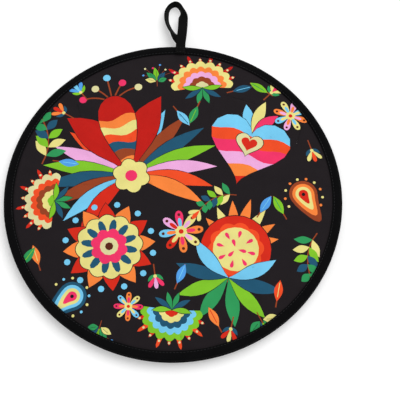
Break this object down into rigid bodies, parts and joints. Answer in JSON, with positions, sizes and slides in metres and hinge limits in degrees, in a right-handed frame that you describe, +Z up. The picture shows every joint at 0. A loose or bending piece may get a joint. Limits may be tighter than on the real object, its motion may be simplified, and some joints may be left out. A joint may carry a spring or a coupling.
{
  "type": "tortilla warmer",
  "caption": "Round padded cloth pouch that keeps flat breads warm, bound round its edge, with a lifting front flap, a dotted lining and a hanging loop.",
  "frame": {"origin": "middle of the underside, on the table", "axes": "+Z up through the printed cover, -Y towards the mouth, +Y along the hanging loop"},
  "size_m": [0.305, 0.3535, 0.0221],
  "materials": {
    "printed_cotton": "matt black cotton with a folk floral print in red, orange, yellow, green, blue and pink",
    "wadding": "soft off-white polyester wadding",
    "dotted_lining": "matt black cotton with small white polka dots",
    "bias_tape": "matt black folded bias tape",
    "loop_tape": "matt black tape, stitched along both edges",
    "thread": "black polyester sewing thread"
  },
  "bodies": {
    "pouch": {"lower_cover": "printed_cotton", "lower_wadding": "wadding", "lower_lining": "dotted_lining", "upper_cover_back": "printed_cotton", "upper_wadding_back": "wadding", "upper_lining_back": "dotted_lining", "rim_binding": "bias_tape", "rim_stitching": "thread", "lower_mouth_binding": "bias_tape", "lower_mouth_stitching": "thread", "upper_mouth_binding_ends": "bias_tape", "upper_mouth_stitching_ends": "thread", "hanging_loop_tails": "loop_tape", "hanging_loop_stitching": "thread"},
    "flap": {"upper_cover_flap": "printed_cotton", "upper_wadding_flap": "wadding", "upper_lining_flap": "dotted_lining", "upper_mouth_binding": "bias_tape", "upper_mouth_stitching": "thread"},
    "hanging_loop": {"hanging_loop": "loop_tape"}
  },
  "joints": [
    {"name": "flap_lift", "type": "hinge", "parent": "pouch", "child": "flap", "pos_m": [0, -0.04622, 0.02129], "axis": [-1, 0, 0], "range_deg": [0, 110]},
    {"name": "loop_swing", "type": "hinge", "parent": "pouch", "child": "hanging_loop", "pos_m": [0, 0.15393, 0.01438], "axis": [1, 0, 0], "range_deg": [-75, 80]}
  ]
}
